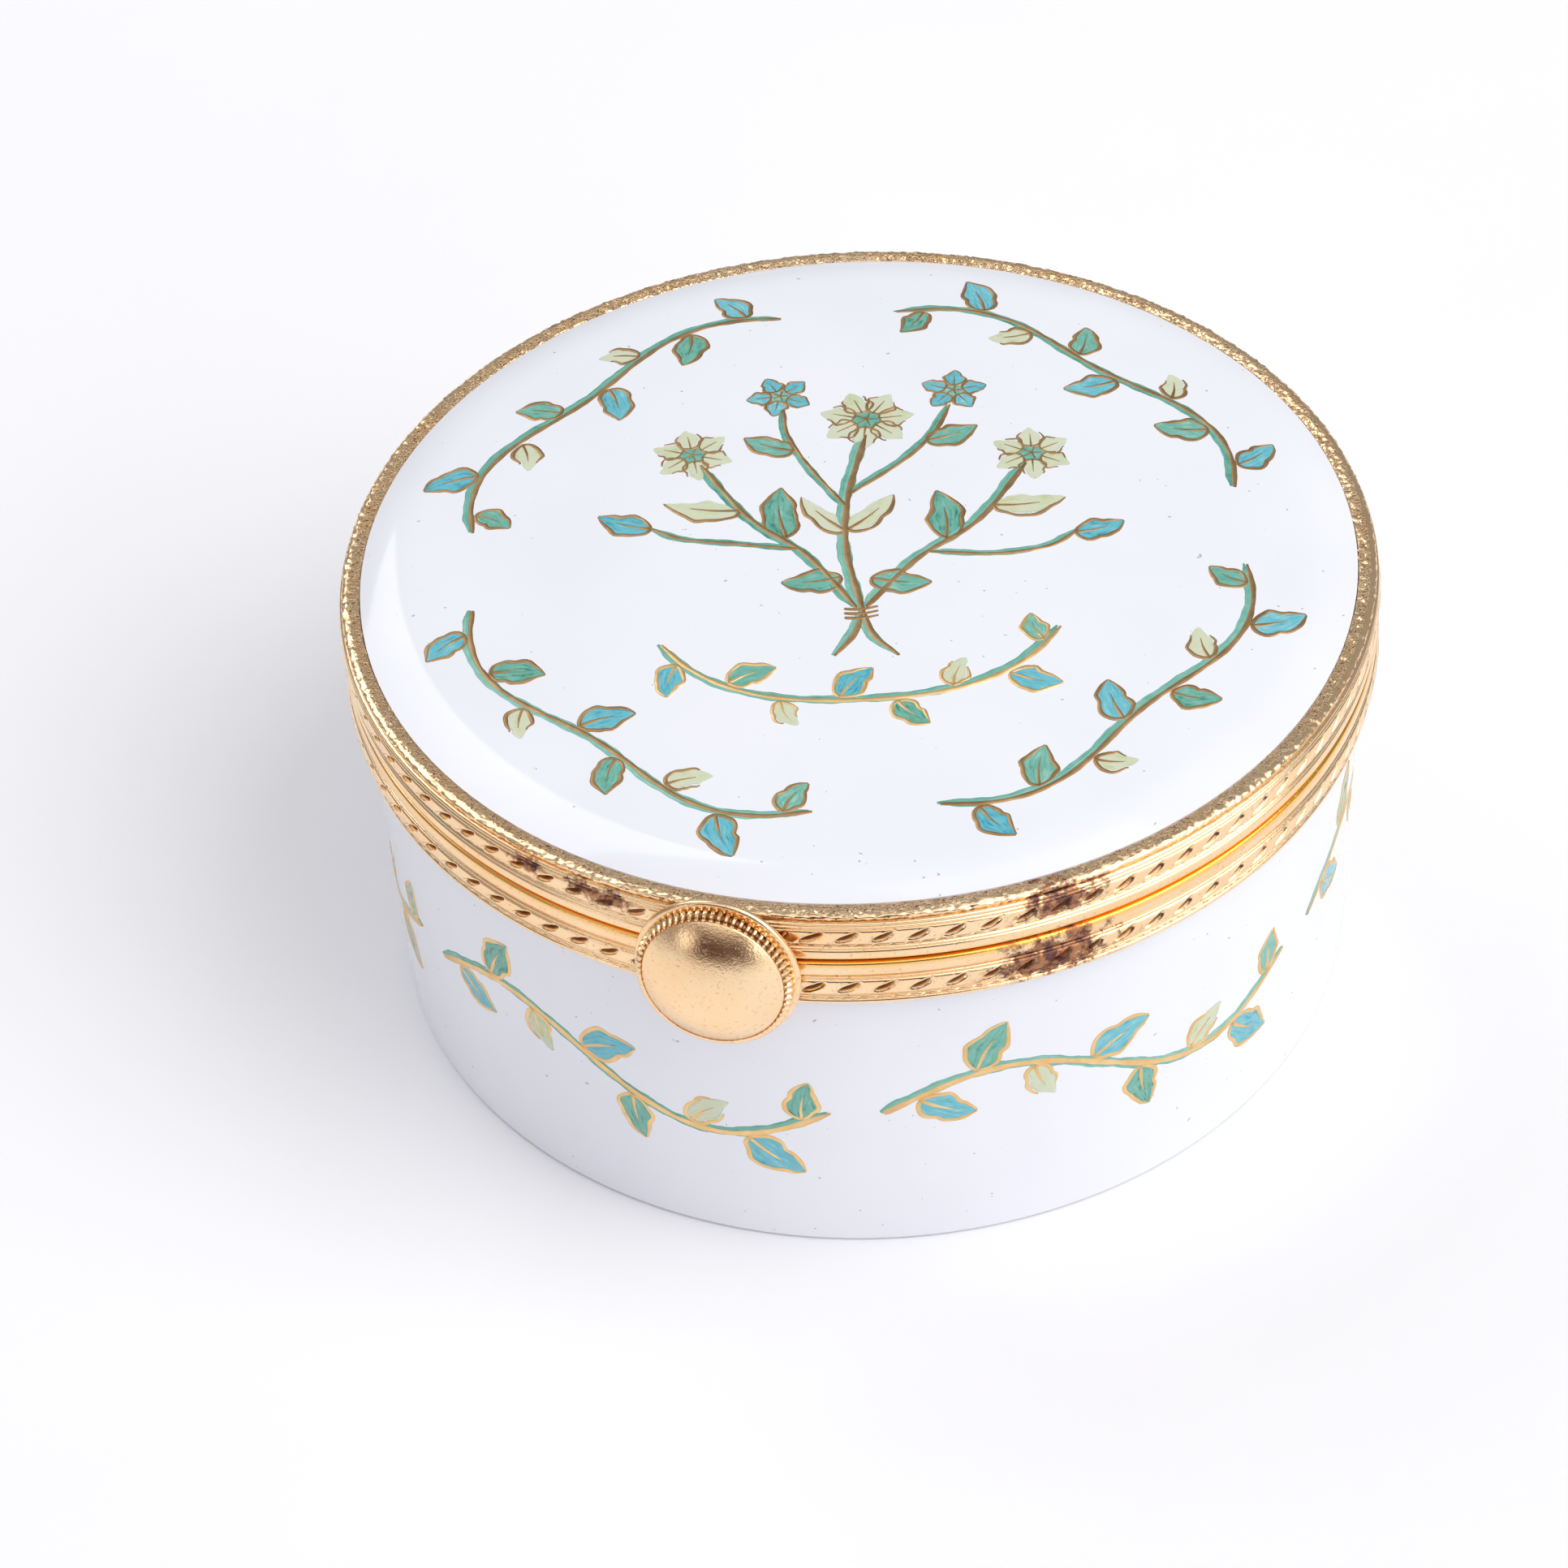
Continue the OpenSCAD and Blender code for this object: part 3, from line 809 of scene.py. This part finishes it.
posyLeaves = [  # foot, tip, width, bend, enamel, outlined sides
    ((-1.0, -3.4), (-4.6, -3.6), 1.9, 0.2, 1, "both"), ((0.8, -3.6), (4.4, -4.2), 1.9, -0.2, 1, "both"),
    ((-4.2, 0.6), (-4.4, 5.4), 2.2, 0.3, 1, "both"), ((5.4, -0.2), (5.0, 4.4), 2.1, -0.3, 1, "both"),
    ((-6.9, 3.4), (-11.6, 4.6), 2.0, 0.3, 2, "left"), ((8.4, 2.8), (12.8, 3.4), 2.0, -0.3, 2, "right"),
    ((-0.5, 0.8), (-3.2, 4.4), 1.6, 0.2, 2, "left"), ((-0.5, 1.0), (2.4, 4.2), 1.7, -0.2, 2, "right"),
    ((-3.6, 9.0), (-6.6, 10.6), 1.7, 0.2, 1, "both"), ((4.6, 9.4), (7.8, 10.8), 1.8, -0.2, 1, "both"),
    ((-12.4, 2.2), (-15.6, 3.8), 1.8, 0.2, 0, "both"), ((13.2, 0.0), (16.2, 1.0), 1.7, -0.2, 0, "both"),
]

posyFlowers = [  # middle, reach of the petals, how many, enamel
    ((1.0, 11.8), 3.0, 7, 2), ((-9.8, 9.2), 2.6, 6, 2), ((11.0, 7.8), 2.6, 6, 2),
    ((-4.3, 14.7), 2.1, 5, 0), ((6.5, 14.5), 2.1, 5, 0),
]


bloom = dict(inner=0.25, plump=0.6, line=0.22, heart=0.3, threads=5, threadReach=0.22, threadLine=0.24)


def flower(enamelBrush, goldBrush, middle, reach, petals, shade):
    middle = np.array(middle)
    for number in range(petals):
        a = 2 * math.pi * number / petals + middle[0]
        way = np.array([math.cos(a), math.sin(a)])
        foot, tip = tuple(middle + way * reach * bloom["inner"]), tuple(middle + way * reach)
        leaf(enamelBrush, goldBrush, (foot, tip, reach * bloom["plump"], 0, shade, "both"), bloom["line"])
    along = np.linspace(-0.97, 0.97, 10)
    half = np.sqrt(1 - along ** 2) * reach * bloom["heart"]
    heart = middle + np.stack([along * reach * bloom["heart"], 0 * along], 1)
    enamelBrush.film(heart, half, half, paint["enamelThick"], paint["over"], 7, 1, middle[1] * 0.07 % 1)
    for number in range(bloom["threads"]):
        a = 2 * math.pi * number / bloom["threads"]
        tip = middle + np.array([math.cos(a), math.sin(a)]) * reach * bloom["threadReach"]
        goldBrush.stroke([tuple(middle), tuple(tip)], bloom["threadLine"],
                         paint["over"] * 2, paint["goldThick"], (0.8, 0.5))


def paintPosy(enamelBrush, goldBrush):  # a plain tied bunch of flowers fills the middle of the lid
    for points, width, under in posyStems:
        vine(enamelBrush, goldBrush, points, width, under, (-0.16, 0.08))
    for spec in posyLeaves:
        leaf(enamelBrush, goldBrush, spec)
    for spec in posyFlowers:
        flower(enamelBrush, goldBrush, *spec)
    for rise in (-0.3, 0.1, 0.5):  # the tie
        goldBrush.stroke([(-0.9, -6.8 + rise), (0.1, -6.9 + rise), (1.1, -6.7 + rise)], 0.3,
                         paint["over"] * 2, paint["goldThick"], (0.6, 0.4))


wallSprays = dict(number=6, sweep=54, height=10.4, wave=2.6, leaves=8, size=4.6)  # degrees and mm


def paintLid():
    enamelBrush, goldBrush = Brush(onLid), Brush(onLid)
    for start, sweep, radius, wave, count, size, bright in lidSprays:
        def spot(t):
            a = math.radians(start + sweep * t)
            return (radius + wave * math.sin(3 * math.pi * t)) * np.array([math.cos(a), math.sin(a)])
        spray((enamelBrush, goldBrush), spot, count, size, 0.36, 0.7, bright)
    paintPosy(enamelBrush, goldBrush)
    enamelBrush.build("lidEnamels", "lid", "enamel", ["turquoise", "green", "olive"])
    # the darkened lid gold is painted shade; strokes marked bright take the wall gold as a painted highlight
    goldBrush.build("lidGilding", "lid", "gold_paint", ["shadedLidGold", "wallGold"])


def paintWall():
    enamelBrush, goldBrush = Brush(onWall), Brush(onWall)
    w = wallSprays
    for number in range(w["number"]):
        def spot(t):
            turn = -180 + 360 * number / w["number"] + w["sweep"] * t
            height = w["height"] + w["wave"] * math.sin(2 * math.pi * t)
            return np.array([math.radians(turn) * wallBottomR, height + paint["wallRise"]])
        spray((enamelBrush, goldBrush), spot, w["leaves"], w["size"], 0.5, 0.85)
    enamelBrush.build("wallEnamels", "base", "enamel", ["turquoise", "green", "olive"])
    goldBrush.build("wallGilding", "base", "gold_paint", ["wallGold"])


paintLid()
paintWall()
print("painting laid")


# floor, light and camera

studio = dict(
    floor=tint(251, 251, 254), floorShade=tint(247, 247, 251), floorSize=6.0, exposure=0.0,
    back=0.32, ahead=1.2, dark=tint(74, 46, 42), darkTurn=-8,
    warm=(0.99, 0.995, 1.0), cool=(0.955, 0.965, 1.0),
    lamps=[  # name, place in metres, size, watts, colour
        ("keyLamp", (0.72, -0.05, 0.95), 0.9, 6.3, (1.0, 0.99, 0.97)),
        ("topLamp", (0.21, 0.23, 1.17), 0.45, 0.5, (1.0, 1.0, 1.0)),
        ("leftLamp", (-0.69, 0.42, 0.9), 0.75, 3.5, (0.98, 0.985, 1.0)),
        ("windowRight", (0.85, -0.8, 0.55), 0.35, 0.8, (1.0, 1.0, 1.0)),
        ("windowLeft", (-0.75, -0.9, 0.5), 0.3, 0.6, (1.0, 1.0, 1.0)),
    ],
)


def makeFloor():
    mesh = bpy.data.meshes.new("floor")
    half = studio["floorSize"] / 2
    corners = [(-half, -half, 0), (half, -half, 0), (half, half, 0), (-half, half, 0)]
    mesh.from_pydata(corners, [], [(0, 1, 2, 3)])
    floor = bpy.data.objects.new("floor", mesh)
    scene.collection.objects.link(floor)
    f = Finish("floorPaper", Roughness=0.9)
    grain = f.noise(40, 3, 0.6)
    mesh.materials.append(f.feed(Base_Color=f.blend(grain, studio["floor"], studio["floorShade"])))


def makeLamps():
    for name, place, size, watts, colour in studio["lamps"]:
        lamp = bpy.data.lights.new(name, "AREA")
        lamp.shape = "SQUARE"
        lamp.size = size
        lamp.energy = watts
        lamp.color = colour
        made = bpy.data.objects.new(name, lamp)
        made.location = place
        made.rotation_euler = (Vector((0, 0, 0.015)) - Vector(place)).to_track_quat("-Z", "Y").to_euler()
        scene.collection.objects.link(made)


def makeSurround():  # a pale room that is dark in front, below the lamps
    scene.world = bpy.data.worlds.new("room")
    w = Shading(scene.world, "Background", "Generated")
    x, y, z = w.axes()
    turn = math.radians(paint["turn"])
    ahead = x * math.sin(turn) - y * math.cos(turn)
    aside = x * math.cos(turn) + y * math.sin(turn)
    front = w.ramp(ahead, -0.1, 0.4)
    away = math.radians(studio["darkTurn"])
    low = (1 - w.ramp(z, 0.55, 0.8)) * w.ramp(z, 0.06, 0.22) * w.ramp(
        x * math.sin(away) - y * math.cos(away), 0.3, 0.7)
    level = front * (studio["ahead"] - studio["back"]) + studio["back"]
    level = level * (1 + aside * 0.1) * (1 - low) + low
    tone = w.blend(w.ramp(aside, -0.8, 0.8), studio["cool"], studio["warm"])
    tone = w.blend(low, tone, studio["dark"])
    w.feed(Color=tone, Strength=level)


view = dict(  # aim is to the right of and behind the middle, as seen from the front of the painting
    azimuth=paint["turn"], elevation=41.8, distance=0.3387, about=0.0128, aim=(-0.0052, -0.00284),
    roll=-3.59, lens=124.8)


def makeCamera():
    camera = bpy.data.cameras.new("camera")
    camera.lens = view["lens"]
    camera.clip_start = 0.01
    made = bpy.data.objects.new("camera", camera)
    a, e = math.radians(view["azimuth"]), math.radians(view["elevation"])
    back = Vector((math.sin(a) * math.cos(e), -math.cos(a) * math.cos(e), math.sin(e)))
    made.location = Vector((0, 0, view["about"])) + back * view["distance"]
    right, away = view["aim"]
    aimX = right * math.cos(a) - away * math.sin(a)
    aim = Vector((aimX, right * math.sin(a) + away * math.cos(a), view["about"]))
    look = (aim - made.location).to_track_quat("-Z", "Y")
    made.rotation_mode = "QUATERNION"
    made.rotation_quaternion = look @ Matrix.Rotation(math.radians(view["roll"]), 4, "Z").to_quaternion()
    scene.collection.objects.link(made)
    scene.camera = made


makeFloor()
makeLamps()
makeSurround()
makeCamera()
scene.view_settings.view_transform = "Standard"
scene.view_settings.exposure = studio["exposure"]
print("studio set")
